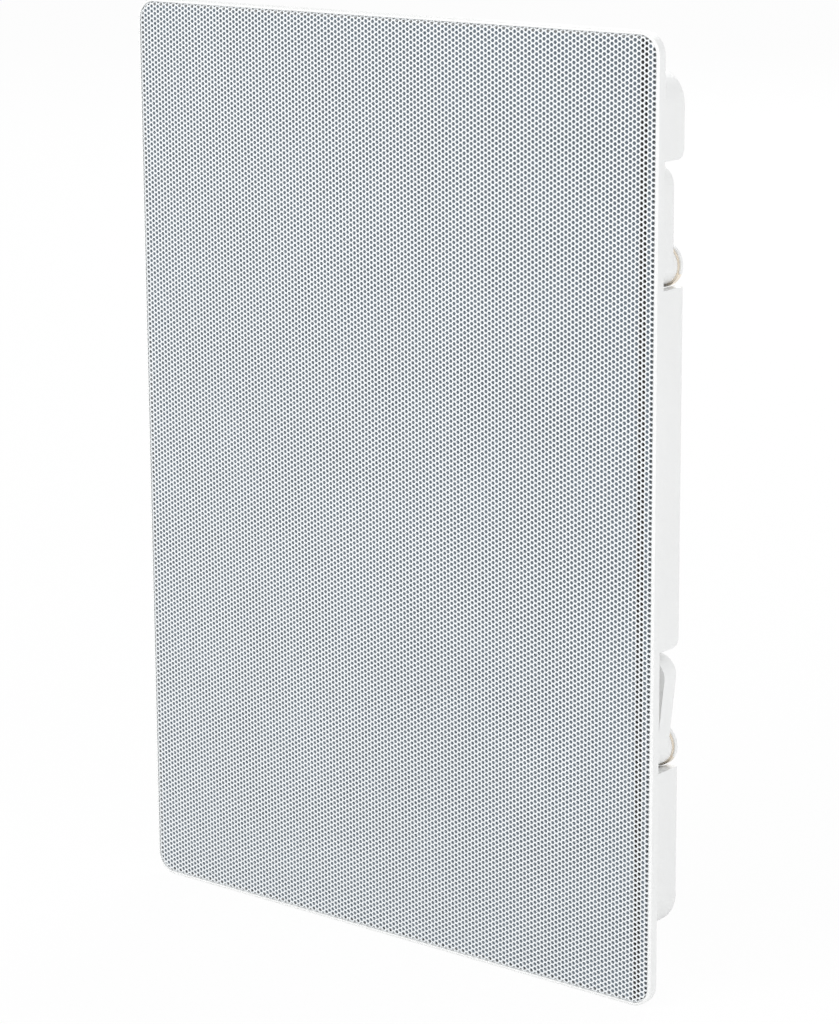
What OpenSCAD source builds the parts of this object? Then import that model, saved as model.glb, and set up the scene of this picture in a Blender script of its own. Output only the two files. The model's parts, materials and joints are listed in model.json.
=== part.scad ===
// Rectangular flush-mount loudspeaker: a moulded frame, a perforated grille, a woofer and a tweeter.
// The origin is the centre of the flange's rear face, the plane that lies against the wall or ceiling board.
// +X is across the speaker, +Z runs along its long side and +Y points into the cavity behind the board.

/* [Frame] */
// Overall width of the flange
frame_w = 209; // [204:1:230]
// Overall height of the flange
frame_h = 303; // [300:1:340]
// Thickness of the flange from the front lip to the board
flange_t = 3.4; // [3.2:0.1:5]
// Outer corner radius of the flange
frame_corner_r = 7; // [5:0.5:12]
// Width of the thin lip round the grille
lip_w = 0.9; // [0.8:0.1:1.6]
// Width of the groove that takes the grille's bent edge
groove_w = 1.8; // [1.6:0.1:2.6]
// Thickness left behind the groove
groove_floor_t = 1.4; // [1:0.1:1.6]
// Width of the ledge just inside the groove
ledge_w = 1.4; // [1:0.1:2.5]
// Chamfer on the front edge of the lip
lip_chamfer = 0.3; // [0.1:0.1:0.5]

/* [Rim and baffle] */
// Distance from the flange's edge to the outside of the rim
rim_inset = 14; // [12:0.5:16]
// Depth of the rim behind the flange
rim_depth = 30.6; // [30:0.2:36]
// Wall thickness of the rim
rim_wall = 2.2; // [1.8:0.1:2.8]
// Outer corner radius of the rim
rim_corner_r = 11; // [8:0.5:16]
// Depth of the baffle's front face behind the board plane
baffle_y = 9; // [8.6:0.2:10]
// Thickness of the baffle
baffle_t = 3; // [2.5:0.25:3.5]
// Thickness of the stiffening ribs behind the baffle
rib_t = 1.8; // [1.2:0.1:2.4]
// Height of the stiffening ribs behind the baffle
rib_h = 5; // [3:0.5:7]

/* [Grille] */
// Sheet thickness of the grille
sheet_t = 0.6; // [0.5:0.1:0.8]
// Gap between the grille and the lip
grille_gap = 0.25; // [0.15:0.05:0.4]
// Corner radius of the grille
grille_r = 7.4; // [6.6:0.2:9]
// Outside radius of the grille's bent edge
bend_r = 1; // [0.9:0.1:1.2]
// Length of the bent edge, front to back
edge_depth = 1.8; // [1.5:0.1:1.9]
// Spacing of the perforation, in staggered columns
hole_pitch = 13; // [13:1:24]
// Width of one perforation across its corners
hole_w = 9; // [5:0.5:10]
// Unperforated border of the grille
border_w = 3; // [2:0.5:8]
// Thickness of the cloth bonded behind the grille
scrim_t = 0.3; // [0.2:0.1:0.4]
// Diameter of a grille magnet
magnet_d = 8; // [6:0.5:9]
// Thickness of a grille magnet
magnet_t = 1.6; // [1.2:0.1:1.8]

/* [Clamps] */
// Height of the clamp screws above and below the centre
clamp_z = 77; // [74:1:80]
// Radius of a clamp's boss and arm
clamp_r = 6.3; // [5.6:0.1:6.5]
// Distance from a clamp's screw to the centre of its arm's round tip
clamp_reach = 25; // [20:0.5:27]
// Thickness of a clamp's arm
arm_t = 6.4; // [5:0.2:7]
// Rear face of a clamp's arm behind the board plane, as stowed
arm_rear_y = 26.4; // [24.4:0.2:27]
// Length of a clamp's boss
boss_len = 13; // [11:0.5:14]
// Lean of the lower right clamp's arm, outwards from its stowed place
clamp_lean = 6.5; // [0:0.5:8]
// Diameter of a clamp screw
clamp_screw_d = 4; // [3:0.5:5]
// Thickness of the sheet nut that lies in a slot of the boss
nut_t = 0.6; // [0.5:0.1:0.8]
// Gap between a clamp and the pocket that it lies in
pocket_gap = 0.4; // [0.3:0.05:0.5]
// Wall thickness of the clamp pockets
pocket_wall = 1.6; // [1.2:0.1:1.7]

/* [Woofer] */
// Height of the woofer's axis
woofer_z = -56; // [-57:0.5:-55]
// Outside diameter of the woofer's basket
woofer_d = 148; // [144:1:148]
// Diameter of the woofer's voice coil former
coil_d = 26; // [24:1:27]
// Depth of the woofer's basket behind the baffle's front face
basket_depth = 40; // [38:0.5:44]
// Diameter of the woofer's magnet
woofer_magnet_d = 86; // [76:1:90]
// Thickness of the woofer's magnet
woofer_magnet_t = 16; // [12:1:20]

/* [Tweeter] */
// Height of the tweeter's axis
tweeter_z = 66; // [62:0.5:68]
// Diameter of the tweeter's face plate
tweeter_d = 70; // [66:1:74]
// Diameter of the tweeter's dome
dome_d = 25; // [22:0.5:26]
// Height of the tweeter's dome
dome_h = 4.5; // [3.5:0.25:5.5]

/* [Crossover] */
// Height of the circuit board's centre
board_z = 116; // [115:0.5:117]
// Width of the circuit board
board_w = 128; // [126:1:132]
// Height of the circuit board
board_h = 34; // [32:0.5:34]
// Thickness of the circuit board
board_t = 1.6; // [1.2:0.1:2]
// Length of the circuit board's standoffs
standoff_len = 5; // [4:0.5:6]
// Outside diameter of the crossover coil
choke_d = 26; // [22:1:28]
// Diameter of a capacitor
cap_d = 12; // [9:0.5:13]
// Width of the terminal block
block_w = 38; // [36:1:40]
// Side of a square push button
button_w = 8.6; // [7:0.2:9]
// Travel of a push button
button_travel = 3; // [2:0.25:3]
// Diameter of a wire hole
wire_d = 3.4; // [2.4:0.2:3.6]
// Diameter of the leads to the two drivers
lead_d = 1.8; // [1.4:0.2:2]

/* [Hidden] */
$fn = 48;

// Room left between cut and cutter
eps = 1;
// Clearance round fixed screws
screw_gap = 0.1;
// Clearance of a part that turns or slides in a bore
running_gap = 0.05;

front_y = -flange_t;
floor_y = -groove_floor_t;
sheet_back_y = front_y + sheet_t;
ledge_drop = 0.8;
scrim_back_y = sheet_back_y + scrim_t;
scrim_gap = 0.1;
ledge_outer = lip_w + groove_w;
ledge_inner = ledge_outer + ledge_w;
pocket_r = frame_corner_r - lip_w;
rim_w = frame_w - 2 * rim_inset;
rim_h = frame_h - 2 * rim_inset;
inner_w = rim_w - 2 * rim_wall;
inner_h = rim_h - 2 * rim_wall;
inner_r = rim_corner_r - rim_wall;
baffle_rear_y = baffle_y + baffle_t;

grille_w = frame_w - 2 * (lip_w + grille_gap);
grille_h = frame_h - 2 * (lip_w + grille_gap);
column_step = hole_pitch * sin(60);

// The magnets sit in posts in the middle of the flange
magnet_post_wall = 1.2;
magnet_post_r = magnet_d / 2 + magnet_post_wall;
magnet_inset = (ledge_inner + rim_inset + rim_wall) / 2;
magnet_step = frame_h * 0.36;
magnet_x = frame_w / 2 - magnet_inset;
magnet_top_z = frame_h / 2 - magnet_inset;
magnet_front_y = scrim_back_y + scrim_gap;
MAGNETS = concat([for (x = [-1, 1], i = [-1:1]) [x * magnet_x, i * magnet_step]],
                 [for (z = [-1, 1]) [0, z * magnet_top_z]]);

// Gussets: heights along the long sides and places along the short sides, mirrored by a half turn
GUSSET_Z = inner_h * [-0.462, -0.074, 0.03, 0.111];
GUSSET_X = inner_w * [-0.408, 0.408];

// A clamp lies in a round-ended pocket, flush with the outside of the rim
clamp_flange_r = clamp_r + 0.8;
clamp_flange_t = 1.2;
pocket_in_r = clamp_flange_r + pocket_gap;
pocket_out_r = pocket_in_r + pocket_wall;
clamp_skin = 0.7;
clamp_side = clamp_r + clamp_skin;
clamp_x = rim_w / 2 - clamp_side;
pocket_top = clamp_reach + clamp_r + 1.7 + pocket_wall;
pocket_front_y = 1.2;
pocket_floor_y = pocket_front_y + 2;
notch_front_y = 7.5;
notch_round = 3;
notch_low = clamp_r + 0.25;
nut_gap = 0.05;
nut_rear_y = rim_depth - clamp_flange_t;
nut_front_y = nut_rear_y - nut_t - 2 * nut_gap;
nut_r = clamp_r + 0.3;
nut_edge_x = -3.5;
tab_r = clamp_flange_r - 0.05;
tab_t = 0.6;
tab_from = -22;
tab_to = -68;
boss_front_y = nut_front_y - boss_len;
standoff_r = 3.4;
arm_front_y = arm_rear_y - arm_t;
shank_r = clamp_screw_d / 2;
screw_tip_y = rim_depth + 1.6;
collar_r = shank_r * 1.5;
collar_t = 0.8;
head_r = shank_r * 1.9;
head_h = 2.2;
tooth_h = 0.8;
tooth_w = 1.4;
web_r = clamp_r - 2;
web_depth = 2.4;

// The drivers, the clamps and the circuit board shrink and move with the room inside the rim
room_h = inner_h / 270.6;
room_w = (clamp_x - pocket_out_r) / 74.4;
room = min(room_h, room_w);
woofer_at = woofer_z * room_h;
tweeter_at = tweeter_z * room_h;
board_at = board_z * room_h;
clamp_at = clamp_z * room_h;

// Woofer, measured from the baffle's front face, positive to the rear
woofer_r = woofer_d / 2 * room;
drawn = woofer_r / 74;
gasket_t = 1;
metal_t = 1.2;
flange_front = -gasket_t - metal_t;
baffle_hole_r = woofer_r - 9 * drawn;
bowl_r = baffle_hole_r - 0.8;
spider_z = basket_depth - 13;
bowl_bend = basket_depth * 0.3;
ledge_r = woofer_r - 22.6 * drawn;
cup_r = ledge_r - 8.8 * drawn;
cup_foot_r = cup_r - 1.6 * drawn;
window_w = 26 * drawn;
window_count = 8;
cone_r = woofer_r - 16 * drawn;
rim_flat = 3 * drawn;
cone_t = 0.7;
cone_rim_z = -1.6;
coil_r = coil_d / 2 * room;
former_t = 0.4;
winding_t = 0.5;
neck_z = basket_depth - 19;
roll_r = 4 * drawn;
roll_t = 0.6;
roll_centre = cone_r + roll_r;
cap_r = 20 * drawn;
dust_cap_h = 5.4;
gap_r = coil_r + former_t + winding_t + 0.6;
pole_r = coil_r - 0.5;
plate_t = 6;
top_plate_r = 36 * drawn;
magnet_front = basket_depth + plate_t;
magnet_back = magnet_front + woofer_magnet_t;
vent_r = 4;
driver_screws = 6;
driver_screw_r = woofer_r - 3;
small_shank_r = 1.6;
small_head_r = 2.8;
small_head_h = 1.8;

// Tweeter, measured from the baffle's front face, positive to the rear
tweeter_r = tweeter_d / 2 * room;
tweeter_hole_r = tweeter_r - 11 * room;
face_t = 3;
spigot_r = tweeter_hole_r - 0.5;
horn_r = dome_d / 2 * room + 2.5;
dome_r = dome_d / 2 * room;
dome_seat = face_t;
dome_t = 0.4;
motor_r = tweeter_hole_r - 1.5;
tweeter_plate_t = 3;
tweeter_magnet_t = 8;
tweeter_screw_r = tweeter_r - 4.5;

// Crossover, behind the baffle
board_wide = board_w * room;
board_high = board_h * room;
block_wide = block_w * room;
choke_wide = choke_d * room;
cap_wide = cap_d * room;
button_wide = button_w * room;
board_y = baffle_rear_y + standoff_len;
board_rear_y = board_y + board_t;
board_hole_x = board_wide / 2 - 4.5;
board_hole_z = board_high / 2 - 4;
block_x = -board_wide / 2 + 12 * room + block_wide / 2;
block_h = 24 * room;
block_d = 14;
block_rear_y = board_rear_y + block_d;
button_x = block_wide / 4;
button_z = 5 * room;
button_gap = 0.15;
button_depth = 6;
button_proud = 4;
wire_z = -6.5 * room;
wire_depth = 9;
wire_mouth = 1;
choke_x = 4 * room;
choke_h = 12;
caps_x = 33 * room;
cap_len = 28 * room;
cap_step = 14 * room;
resistor_x = 54 * room;
resistor_size = [8 * room, 9, 20 * room];

tag_t = 1.6;
tag_w = 16;
tag_len = ledge_r - cup_r + 6;
tag_rear_y = baffle_y + spider_z + metal_t + tag_t;
tag_top_z = woofer_at + cup_r + 3 + tag_len;
tag_hole = 3;
small_tag_w = 13;
small_tag_len = 12;
tweeter_rear_y = baffle_y + dome_seat + 0.4 + 2 * tweeter_plate_t + tweeter_magnet_t;
small_tag_z = tweeter_at + motor_r + 3 - small_tag_len;
lead_pitch = 2.6;

function unit(v) = v / norm(v);

// Rounds the corners of a route by cutting them, the given number of times
function smooth(p, times) = times == 0 ? p : smooth(concat([p[0]],
    [for (i = [0:len(p) - 2], t = [0.25, 0.75]) p[i] * (1 - t) + p[i + 1] * t], [p[len(p) - 1]]), times - 1);

// A round lead along a route that never runs along X
module lead(route, d = lead_d, sides = 8) {
    path = smooth(route, 2);
    n = len(path);
    points = [for (i = [0:n - 1])
        let (t = unit(path[min(i + 1, n - 1)] - path[max(i - 1, 0)]),
             u = unit(cross(t, [1, 0, 0])), v = cross(t, u))
            for (k = [0:sides - 1]) path[i] + d / 2 * (u * cos(360 * k / sides) + v * sin(360 * k / sides))];
    polyhedron(points, concat(
        [[for (k = [0:sides - 1]) k]],
        [for (i = [0:n - 2], k = [0:sides - 1], half = [0, 1])
            let (a = i * sides + k, b = a + sides, c = (i + 1) * sides + (k + 1) % sides, e = c - sides)
                half == 0 ? [a, b, c] : [a, c, e]],
        [[for (k = [sides - 1:-1:0]) (n - 1) * sides + k]]));
}

// A flat shape drawn in X and Z, extruded from y0 to y1
module slab(y0, y1) {
    translate([0, y1, 0]) rotate([90, 0, 0]) linear_extrude(height = y1 - y0) children();
}

// A flat shape drawn in Y and Z, extruded from x0 to x1
module side_slab(x0, x1) {
    translate([x0, 0, 0]) rotate([90, 0, 90]) linear_extrude(height = x1 - x0) children();
}

// Places a revolved shape with its axis along Y, its local z positive to the rear
module facing(x = 0, y = 0, z = 0) {
    translate([x, y, z]) rotate([-90, 0, 0]) children();
}

module rounded(w, h, r) {
    square([w - 2 * r, h], center = true);
    square([w, h - 2 * r], center = true);
    for (x = [-1, 1], z = [-1, 1]) translate([x * (w / 2 - r), z * (h / 2 - r)]) circle(r = r);
}

module border(w, h, r, t) {
    difference() {
        rounded(w, h, r);
        rounded(w - 2 * t, h - 2 * t, r - t);
    }
}

// Runs a profile round a rounded rectangle: its x is measured outwards from the outline, its y is depth
module edge_run(w, h, r) {
    cx = w / 2 - r;
    cz = h / 2 - r;
    for (turn = [0, 180]) rotate([0, turn, 0]) {
        translate([cx, 0, -cz]) linear_extrude(height = 2 * cz) translate([r, 0]) children();
        rotate([0, 90, 0]) translate([cz, 0, -cx])
            linear_extrude(height = 2 * cx) translate([r, 0]) children();
        translate([cx, 0, -cz]) rotate([-90, 0, 0]) rotate_extrude(angle = 90) translate([r, 0]) children();
        translate([-cx, 0, -cz]) rotate([0, 90, 0]) rotate([-90, 0, 0])
            rotate_extrude(angle = 90) translate([r, 0]) children();
    }
}

// The two clamps on the right have their arms up; turned half round, they are the two on the left
module at_clamp(number) {
    right = number <= 2;
    high = number == 1 || number == 3;
    rotate([0, right ? 0 : 180, 0]) translate([clamp_x, 0, high ? clamp_at : -clamp_at]) children();
}

module at_magnets() {
    for (p = MAGNETS) translate([p[0], 0, p[1]]) children();
}

module at_circle(count, r) {
    for (i = [0:count - 1]) rotate([0, 0, (i + 0.5) * 360 / count]) translate([r, 0, 0]) children();
}

module at_board_corners() {
    for (x = [-1, 1], z = [-1, 1])
        translate([x * board_hole_x, 0, board_at + z * board_hole_z]) children();
}

module pocket_outline(r, top) {
    intersection() {
        union() {
            circle(r = r);
            translate([-r, 0]) square([r + clamp_side, top]);
        }
        translate([-r - 1, -r - 1]) square([r + 1 + clamp_side, top + r + 2]);
    }
}

module arm_outline(r) {
    circle(r = r);
    translate([-r, 0]) square([2 * r, clamp_reach]);
    translate([0, clamp_reach]) circle(r = r);
}

// The part of a clamp's end that the nut's bent tab covers
module tab_wedge() {
    far = 2 * clamp_flange_r;
    polygon([[0, 0], far * [cos(tab_from), sin(tab_from)], far * [cos(tab_to), sin(tab_to)]]);
}

module nut_outline(gap = 0) {
    difference() {
        union() {
            circle(r = nut_r + gap);
            intersection() {
                circle(r = tab_r + gap);
                tab_wedge();
            }
        }
        translate([nut_edge_x - gap - 20, -20]) square([20, 40]);
    }
}

// Side view of the opening in the rim, with the end of the wall beyond the arm's tip rounded
module notch_outline() {
    translate([notch_front_y, -notch_low])
        square([rim_depth - notch_front_y + eps, notch_low + pocket_top - pocket_wall]);
    translate([rim_depth - notch_round, pocket_top - pocket_wall]) difference() {
        square([notch_round + eps, notch_round]);
        translate([0, notch_round]) circle(r = notch_round);
    }
}

module frame_shell() {
    difference() {
        union() {
            slab(front_y, 0) rounded(frame_w, frame_h, frame_corner_r);
            slab(0, rim_depth) rounded(rim_w, rim_h, rim_corner_r);
        }
        slab(front_y - eps, floor_y) rounded(frame_w - 2 * lip_w, frame_h - 2 * lip_w, pocket_r);
        slab(floor_y - eps, baffle_y) rounded(inner_w, inner_h, inner_r);
        slab(baffle_rear_y, rim_depth + eps) rounded(inner_w, inner_h, inner_r);
        edge_run(frame_w, frame_h, frame_corner_r)
            polygon([[-lip_chamfer, front_y - eps], [eps, front_y - eps], [eps, front_y + lip_chamfer],
                     [0, front_y + lip_chamfer], [-lip_chamfer, front_y]]);
    }
}

// Gussets that stiffen the rim's inner wall where it meets the baffle
module frame_gussets() {
    reach = 9;
    top_y = rim_depth - 4;
    for (side = [0, 180]) rotate([0, side, 0]) {
        for (z = GUSSET_Z) translate([0, 0, z - rib_t / 2]) linear_extrude(height = rib_t)
            polygon([[inner_w / 2 + eps, baffle_rear_y - eps], [inner_w / 2 - reach, baffle_rear_y - eps],
                     [inner_w / 2 - reach, baffle_rear_y + 1.5], [inner_w / 2, top_y],
                     [inner_w / 2 + eps, top_y]]);
        for (x = GUSSET_X) side_slab(x - rib_t / 2, x + rib_t / 2)
            polygon([[baffle_rear_y - eps, inner_h / 2 + eps], [baffle_rear_y - eps, inner_h / 2 - reach],
                     [baffle_rear_y + 1.5, inner_h / 2 - reach], [top_y, inner_h / 2],
                     [top_y, inner_h / 2 + eps]]);
    }
}

module frame_ribs() {
    slab(baffle_rear_y - eps, baffle_rear_y + rib_h) {
        for (x = [-1, 1]) translate([x * (tweeter_hole_r + 12) - rib_t / 2, woofer_at + baffle_hole_r * 0.86])
            square([rib_t, board_at - board_high / 2 - 3 - woofer_at - baffle_hole_r * 0.86]);
        translate([-inner_w / 2 - eps, woofer_at + baffle_hole_r + 8]) square([inner_w + 2 * eps, rib_t]);
    }
    for (d = [[woofer_at, baffle_hole_r], [tweeter_at, tweeter_hole_r]])
        facing(y = baffle_rear_y - eps, z = d[0]) difference() {
            cylinder(h = rib_h + eps, r = d[1] + rib_t);
            translate([0, 0, -eps]) cylinder(h = rib_h + 3 * eps, r = d[1]);
        }
}

module frame() color("white") difference() {
    union() {
        frame_shell();
        slab(sheet_back_y + ledge_drop, floor_y)
            border(frame_w - 2 * ledge_outer, frame_h - 2 * ledge_outer,
                   max(frame_corner_r - ledge_outer, ledge_w + 1), ledge_w);
        at_magnets() slab(magnet_front_y, 0) circle(r = magnet_post_r);
        for (n = [1:4]) at_clamp(n) slab(pocket_front_y, rim_depth) pocket_outline(pocket_out_r, pocket_top);
        frame_ribs();
        frame_gussets();
        at_board_corners() slab(baffle_rear_y - eps, board_y) circle(r = standoff_r);
    }
    for (n = [1:4]) at_clamp(n) {
        slab(pocket_floor_y, rim_depth + eps) pocket_outline(pocket_in_r, pocket_top - pocket_wall);
        side_slab(0, clamp_side + eps) notch_outline();
        slab(pocket_front_y - eps, pocket_floor_y + eps) circle(r = shank_r + running_gap);
    }
    at_magnets() slab(magnet_front_y - eps, magnet_front_y + magnet_t) circle(r = magnet_d / 2);
    facing(y = baffle_y - eps, z = woofer_at) {
        cylinder(h = baffle_t + rib_h + 3 * eps, r = baffle_hole_r);
        at_circle(driver_screws, driver_screw_r)
            cylinder(h = baffle_t + 2 * eps, r = small_shank_r + screw_gap);
    }
    facing(y = baffle_y - eps, z = tweeter_at) {
        cylinder(h = baffle_t + rib_h + 3 * eps, r = tweeter_hole_r);
        at_circle(4, tweeter_screw_r) cylinder(h = baffle_t + 2 * eps, r = small_shank_r + screw_gap);
    }
    at_board_corners() slab(baffle_y + 1, board_y + eps) circle(r = small_shank_r + screw_gap);
}

// Room for one perforation inside the border
function hole_fits(x, z) =
    let (half_w = grille_w / 2 - bend_r - border_w - hole_w / 2,
         half_h = grille_h / 2 - bend_r - border_w - hole_w / 2,
         corner = grille_r * 0.5)
    abs(x) <= half_w && abs(z) <= half_h && abs(x) + abs(z) <= half_w + half_h - corner;

module perforation() {
    columns = floor(grille_w / 2 / column_step);
    rows = floor(grille_h / 2 / hole_pitch) + 1;
    for (i = [-columns:columns], j = [-rows:rows])
        let (x = i * column_step, z = (j + (i % 2 == 0 ? 0 : 0.5)) * hole_pitch)
            if (hole_fits(x, z)) translate([x, z]) circle(d = hole_w, $fn = 6);
}

module bent_edge() {
    translate([0, front_y + bend_r]) intersection() {
        difference() {
            circle(r = bend_r);
            circle(r = bend_r - sheet_t);
        }
        translate([0, -bend_r]) square([bend_r, bend_r]);
    }
    translate([bend_r - sheet_t, front_y + bend_r]) square([sheet_t, edge_depth - bend_r]);
}

module grille() color("whitesmoke") {
    slab(front_y, sheet_back_y) difference() {
        rounded(grille_w - 2 * bend_r, grille_h - 2 * bend_r, grille_r - bend_r);
        perforation();
    }
    edge_run(grille_w - 2 * bend_r, grille_h - 2 * bend_r, grille_r - bend_r) bent_edge();
}

module scrim() color("dimgray") {
    inset = ledge_inner + 2 * scrim_gap;
    slab(sheet_back_y, scrim_back_y) rounded(frame_w - 2 * inset, frame_h - 2 * inset, 4);
}

module grille_magnets() color("silver") {
    at_magnets() slab(magnet_front_y, magnet_front_y + magnet_t) circle(r = magnet_d / 2);
}

// Turns a clamp about its screw to the angle that it is stored at
module leaning(number) {
    rotate([0, number == 2 ? clamp_lean : 0, 0]) children();
}

module clamp(number) color("white") at_clamp(number) leaning(number) difference() {
    union() {
        slab(boss_front_y, rim_depth) circle(r = clamp_r);
        slab(nut_rear_y, rim_depth) circle(r = clamp_flange_r);
        slab(arm_front_y, arm_rear_y) arm_outline(clamp_r);
        for (i = [0:2]) slab(arm_front_y - tooth_h, arm_front_y + tooth_h)
            translate([-clamp_r * 0.6, clamp_reach - 1 + (2 * i - 1) * tooth_w])
                square([clamp_r * 1.2, tooth_w]);
    }
    slab(boss_front_y - eps, rim_depth + eps) circle(r = shank_r + running_gap);
    slab(nut_front_y, nut_rear_y) nut_outline(0.3);
    slab(nut_rear_y - eps / 4, rim_depth + eps) difference() {
        tab_wedge();
        circle(r = tab_r - tab_t - 0.1);
    }
    slab(arm_rear_y - web_depth, arm_rear_y + eps) difference() {
        arm_outline(web_r);
        circle(r = clamp_r);
    }
}

module clamp_nut(number) color("tan") at_clamp(number) leaning(number) difference() {
    union() {
        slab(nut_front_y + nut_gap, nut_rear_y - nut_gap) nut_outline();
        slab(nut_front_y + nut_gap, rim_depth) intersection() {
            difference() {
                circle(r = tab_r);
                circle(r = tab_r - tab_t);
            }
            tab_wedge();
        }
    }
    slab(nut_front_y - eps, rim_depth + eps) circle(r = shank_r + running_gap);
}

module clamp_screw(number) color("goldenrod") at_clamp(number) {
    difference() {
        union() {
            slab(pocket_front_y - head_h * 0.55, pocket_front_y) circle(r = head_r);
            slab(pocket_front_y - head_h, pocket_front_y - head_h * 0.5) circle(r = head_r * 0.82);
        }
        slab(pocket_front_y - head_h - eps, pocket_front_y - head_h * 0.4) {
            square([head_r, head_r * 0.28], center = true);
            square([head_r * 0.28, head_r], center = true);
        }
    }
    slab(pocket_front_y, screw_tip_y) circle(r = shank_r);
    slab(pocket_floor_y + running_gap, pocket_floor_y + running_gap + collar_t) circle(r = collar_r);
}

module woofer_gasket() color("dimgray") facing(y = baffle_y, z = woofer_at) difference() {
    translate([0, 0, -gasket_t]) cylinder(h = gasket_t, r = woofer_r - 0.4);
    translate([0, 0, -gasket_t - eps]) cylinder(h = gasket_t + 2 * eps, r = baffle_hole_r + 0.4);
    translate([0, 0, -gasket_t - eps]) at_circle(driver_screws, driver_screw_r)
        cylinder(h = gasket_t + 2 * eps, r = small_shank_r + screw_gap);
}

module woofer_basket() color([0.2, 0.2, 0.22]) facing(y = baffle_y, z = woofer_at) difference() {
    rotate_extrude() polygon([
        [woofer_r, flange_front], [woofer_r, -gasket_t], [bowl_r, -gasket_t],
        [bowl_r - 1.7 * drawn, bowl_bend], [ledge_r + 1.6, spider_z],
        [ledge_r + 1.6, spider_z + metal_t], [cup_r + metal_t, spider_z + metal_t],
        [cup_foot_r + metal_t, basket_depth], [gap_r, basket_depth], [gap_r, basket_depth - metal_t],
        [cup_foot_r, basket_depth - metal_t], [cup_r, spider_z], [ledge_r, spider_z],
        [bowl_r - 3 * drawn, bowl_bend - 0.4], [bowl_r - 1.2, flange_front]]);
    for (i = [0:window_count - 1]) rotate([0, 0, (i + 0.5) * 360 / window_count])
        translate([ledge_r - 3, -window_w / 2, bowl_bend + 1])
            cube([woofer_r - ledge_r, window_w, spider_z - bowl_bend - 2.5]);
    translate([0, 0, flange_front - eps]) at_circle(driver_screws, driver_screw_r)
        cylinder(h = metal_t + 2 * eps, r = small_shank_r + screw_gap);
}

// Depth of the cone's front at a radius, falling in a shallow curve to its flat rim
function cone_z(r) = neck_z - (neck_z - cone_rim_z) * pow((r - coil_r) / (cone_r - rim_flat - coil_r), 0.85);

module woofer_cone() color([0.16, 0.16, 0.18]) facing(y = baffle_y, z = woofer_at) {
    inner = coil_r + former_t + screw_gap;
    radii = [for (i = [0:10]) inner + i * (cone_r - rim_flat - inner) / 10];
    rotate_extrude() polygon(concat(
        [for (r = radii) [r, cone_z(r)]], [[cone_r, cone_rim_z], [cone_r, cone_rim_z + cone_t]],
        [for (i = [10:-1:0]) [radii[i], cone_z(radii[i]) + cone_t]]));
}

module woofer_surround() color([0.1, 0.1, 0.1]) facing(y = baffle_y, z = woofer_at) {
    base = flange_front;
    rotate_extrude() polygon(concat(
        [[cone_r - rim_flat, base], [cone_r, base]],
        [for (a = [170:-20:10]) [roll_centre + roll_r * cos(a), base - roll_r * sin(a)]],
        [[roll_centre + roll_r, base - roll_t], [roll_centre + roll_r + 1.6, base - roll_t],
         [roll_centre + roll_r + 1.6, base], [roll_centre + roll_r - roll_t, base]],
        [for (a = [10:20:170]) [roll_centre + (roll_r - roll_t) * cos(a), base - (roll_r - roll_t) * sin(a)]],
        [[cone_r + roll_t, base], [cone_r + roll_t, cone_rim_z], [cone_r - rim_flat, cone_rim_z]]));
}

module woofer_dust_cap() color([0.12, 0.12, 0.13]) facing(y = baffle_y, z = woofer_at) {
    foot = cone_z(cap_r) - 0.15;
    radii = [for (i = [0:8]) i * cap_r / 8];
    rotate_extrude() polygon(concat(
        [for (r = radii) [r, foot - dust_cap_h * (1 - pow(r / cap_r, 2)) - roll_t]],
        [for (i = [8:-1:0]) [radii[i], foot - dust_cap_h * (1 - pow(radii[i] / cap_r, 2))]]));
}

module woofer_voice_coil() color("peru") facing(y = baffle_y, z = woofer_at) {
    rotate_extrude() polygon([
        [coil_r, neck_z - 1.5], [coil_r + former_t, neck_z - 1.5], [coil_r + former_t, basket_depth - 3],
        [coil_r + former_t + winding_t, basket_depth - 3], [coil_r + former_t + winding_t, magnet_front + 3],
        [coil_r, magnet_front + 3]]);
}

module woofer_spider() color("khaki") facing(y = baffle_y, z = woofer_at) {
    inner = coil_r + former_t + screw_gap;
    flat = cup_r + 0.5;
    wave = [for (i = [0:24]) inner + i * (flat - inner) / 24];
    rotate_extrude() polygon(concat(
        [for (i = [0:24]) [wave[i], spider_z - roll_t - 1 - sin(i * 60)]],
        [[flat + 0.6, spider_z - roll_t], [ledge_r - 0.5, spider_z - roll_t],
         [ledge_r - 0.5, spider_z], [flat, spider_z]],
        [for (i = [24:-1:0]) [wave[i], spider_z - 1 - sin(i * 60)]]));
}

// A ring turned from stock, its outer edges broken by a chamfer
module ring(h, r_in, r_out, chamfer) {
    rotate_extrude() polygon([[r_in, 0], [r_out - chamfer, 0], [r_out, chamfer], [r_out, h - chamfer],
                              [r_out - chamfer, h], [r_in, h]]);
}

module woofer_top_plate() color("silver") facing(y = baffle_y + basket_depth, z = woofer_at)
    ring(plate_t, gap_r, top_plate_r, 0.5);

module woofer_magnet() color([0.22, 0.22, 0.23]) facing(y = baffle_y + magnet_front, z = woofer_at)
    ring(woofer_magnet_t, gap_r + 5 * room, woofer_magnet_d / 2 * room, 1.5);

module woofer_yoke() color("silver") facing(y = baffle_y, z = woofer_at) rotate_extrude() polygon([
    [vent_r, basket_depth], [pole_r - 0.5, basket_depth], [pole_r, basket_depth + 0.5], [pole_r, magnet_back],
    [top_plate_r, magnet_back], [top_plate_r, magnet_back + plate_t - 0.8],
    [top_plate_r - 0.8, magnet_back + plate_t], [vent_r + 3, magnet_back + plate_t],
    [vent_r, magnet_back + plate_t - 3]]);

module woofer_tag_strip() color("saddlebrown") difference() {
    translate([-tag_w / 2, tag_rear_y - tag_t, tag_top_z - tag_len]) cube([tag_w, tag_t, tag_len]);
    for (x = [-1, 1]) facing(x * tag_w / 4, tag_rear_y - tag_t - eps, tag_top_z - tag_hole)
        cylinder(h = tag_t + 2 * eps, r = 0.6);
}

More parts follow.
